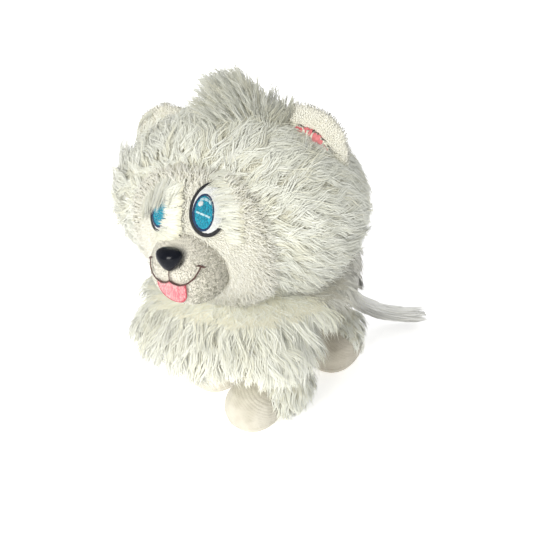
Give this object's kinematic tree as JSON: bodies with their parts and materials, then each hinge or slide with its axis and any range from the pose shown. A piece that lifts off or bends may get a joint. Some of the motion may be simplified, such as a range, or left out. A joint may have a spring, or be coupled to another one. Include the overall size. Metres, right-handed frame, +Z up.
{
  "type": "interactive plush puppy",
  "caption": "Fluffy standing plush puppy that walks on a hidden battery gearbox, with a turning head, wagging tail and a press button under the back.",
  "frame": {"origin": "on the floor, under the middle of the whole puppy's bounding box", "axes": "-Y to the puppy's front, +X to its own left side, +Z up"},
  "size_m": [0.1628, 0.2073, 0.203],
  "materials": {
    "long_pile": "long shaggy off-white pile",
    "short_pile": "short cream knitted pile",
    "muzzle_pile": "short grey-beige pile",
    "pink_satin": "coral satin",
    "tongue_pink": "pink embroidery",
    "eye_thread": "teal, navy and white embroidery",
    "nose_black": "gloss black",
    "stuffing": "white fibre filling",
    "case_white": "off-white moulded",
    "gear_white": "natural acetal",
    "button_pink": "pink moulded",
    "dark_plastic": "black moulded",
    "steel": "plated",
    "brass": "machined",
    "board_green": "solder mask",
    "cell_wrap": "printed wrap without marks"
  },
  "bodies": {
    "torso": {"chassis_tray": "case_white", "chassis_cover": "case_white", "belly_panel": "short_pile", "body_fur": "long_pile", "chest_ruff": "long_pile", "battery_1": "cell_wrap", "battery_2": "cell_wrap", "battery_contacts": "steel", "motor": "steel", "circuit_board": "board_green", "speaker": "dark_plastic", "slide_switch": "dark_plastic", "button_spring": "steel", "neck_bearing": "dark_plastic", "hip_screw_front_left": "steel", "hip_screw_front_right": "steel", "hip_screw_rear_left": "steel", "hip_screw_rear_right": "steel"},
    "battery_lid": {"battery_door": "case_white", "door_screw": "steel"},
    "switch": {"switch_knob": "dark_plastic"},
    "button": {"press_button": "button_pink"},
    "crank": {"crank_shaft": "steel", "crank_gear": "gear_white", "crank_disc_left": "gear_white", "crank_disc_right": "gear_white"},
    "gear_two": {"compound_gear_2": "gear_white"},
    "gear_one": {"compound_gear_1": "gear_white"},
    "pinion": {"motor_pinion": "brass"},
    "leg_front_left": {"leg_lever_front_left": "case_white", "leg_cuff_front_left": "long_pile", "boot_front_left": "short_pile"},
    "leg_front_right": {"leg_lever_front_right": "case_white", "leg_cuff_front_right": "long_pile", "boot_front_right": "short_pile"},
    "leg_rear_left": {"leg_lever_rear_left": "case_white", "leg_cuff_rear_left": "long_pile", "boot_rear_left": "short_pile"},
    "leg_rear_right": {"leg_lever_rear_right": "case_white", "leg_cuff_rear_right": "long_pile", "boot_rear_right": "short_pile"},
    "rod_left": {"side_rod_left": "case_white"},
    "rod_right": {"side_rod_right": "case_white"},
    "head": {"head_fur": "long_pile", "head_stuffing": "stuffing", "face_panel": "short_pile", "muzzle": "muzzle_pile", "nose": "nose_black", "tongue": "tongue_pink", "left_eye": "eye_thread", "right_eye": "eye_thread", "left_ear": "short_pile", "right_ear": "short_pile", "left_ear_lining": "pink_satin", "right_ear_lining": "pink_satin", "head_turntable": "case_white"},
    "tail": {"tail_peg": "case_white", "tail_plume": "long_pile"}
  },
  "joints": [
    {"name": "leg_front_left_swing", "type": "hinge", "parent": "torso", "child": "leg_front_left", "pos_m": [0.0275, -0.035, 0.056], "axis": [1, 0, 0], "range_deg": [0, 30]},
    {"name": "leg_rear_left_swing", "type": "hinge", "parent": "torso", "child": "leg_rear_left", "pos_m": [0.0275, 0.043, 0.056], "axis": [1, 0, 0], "range_deg": [0, 30]},
    {"name": "leg_front_right_swing", "type": "hinge", "parent": "torso", "child": "leg_front_right", "pos_m": [-0.0275, -0.035, 0.056], "axis": [1, 0, 0], "range_deg": [-30, 0]},
    {"name": "leg_rear_right_swing", "type": "hinge", "parent": "torso", "child": "leg_rear_right", "pos_m": [-0.0275, 0.043, 0.056], "axis": [1, 0, 0], "range_deg": [-30, 0]},
    {"name": "rod_left_pivot", "type": "hinge", "parent": "leg_front_left", "child": "rod_left", "pos_m": [0.0275, -0.03189, 0.06759], "axis": [1, 0, 0], "range_deg": [-30, 0]},
    {"name": "rod_right_pivot", "type": "hinge", "parent": "leg_front_right", "child": "rod_right", "pos_m": [-0.0275, -0.03811, 0.06759], "axis": [1, 0, 0], "range_deg": [0, 30]},
    {"name": "crank_spin", "type": "hinge", "parent": "torso", "child": "crank", "pos_m": [0, 0.004, 0.06], "axis": [1, 0, 0], "continuous": true},
    {"name": "gear_two_spin", "type": "hinge", "parent": "torso", "child": "gear_two", "pos_m": [0, -0.0088, 0.06], "axis": [1, 0, 0], "continuous": true},
    {"name": "gear_one_spin", "type": "hinge", "parent": "torso", "child": "gear_one", "pos_m": [0, -0.0216, 0.06], "axis": [1, 0, 0], "continuous": true},
    {"name": "pinion_spin", "type": "hinge", "parent": "torso", "child": "pinion", "pos_m": [0, -0.0344, 0.06], "axis": [1, 0, 0], "continuous": true},
    {"name": "head_turn", "type": "hinge", "parent": "torso", "child": "head", "pos_m": [0, -0.0195, 0.078], "axis": [0, 0, 1], "range_deg": [-37, 23]},
    {"name": "tail_wag", "type": "hinge", "parent": "torso", "child": "tail", "pos_m": [0, 0.058, 0.05], "axis": [0, 0, 1], "range_deg": [-5, 60]},
    {"name": "button_press", "type": "slide", "parent": "torso", "child": "button", "axis": [0, 0, -1], "range_m": [0, 0.002], "stiffness_N_per_m": 300, "springref_m": -0.001, "deforming": ["button_spring"]},
    {"name": "switch_slide", "type": "slide", "parent": "torso", "child": "switch", "axis": [0, 1, 0], "range_m": [0, 0.004]},
    {"name": "battery_door_hinge", "type": "hinge", "parent": "torso", "child": "battery_lid", "pos_m": [0, 0.0497, 0.045], "axis": [1, 0, 0], "range_deg": [0, 80]}
  ],
  "couplings": [
    {"joint": "leg_rear_left_swing", "follows": "leg_front_left_swing", "ratio": 1},
    {"joint": "leg_front_right_swing", "follows": "leg_front_left_swing", "ratio": -1},
    {"joint": "leg_rear_right_swing", "follows": "leg_front_left_swing", "ratio": -1},
    {"joint": "rod_left_pivot", "follows": "leg_front_left_swing", "ratio": -1},
    {"joint": "rod_right_pivot", "follows": "leg_front_left_swing", "ratio": 1},
    {"joint": "crank_spin", "follows": "pinion_spin", "ratio": -0.037037},
    {"joint": "gear_two_spin", "follows": "pinion_spin", "ratio": 0.11111},
    {"joint": "gear_one_spin", "follows": "pinion_spin", "ratio": -0.33333}
  ]
}
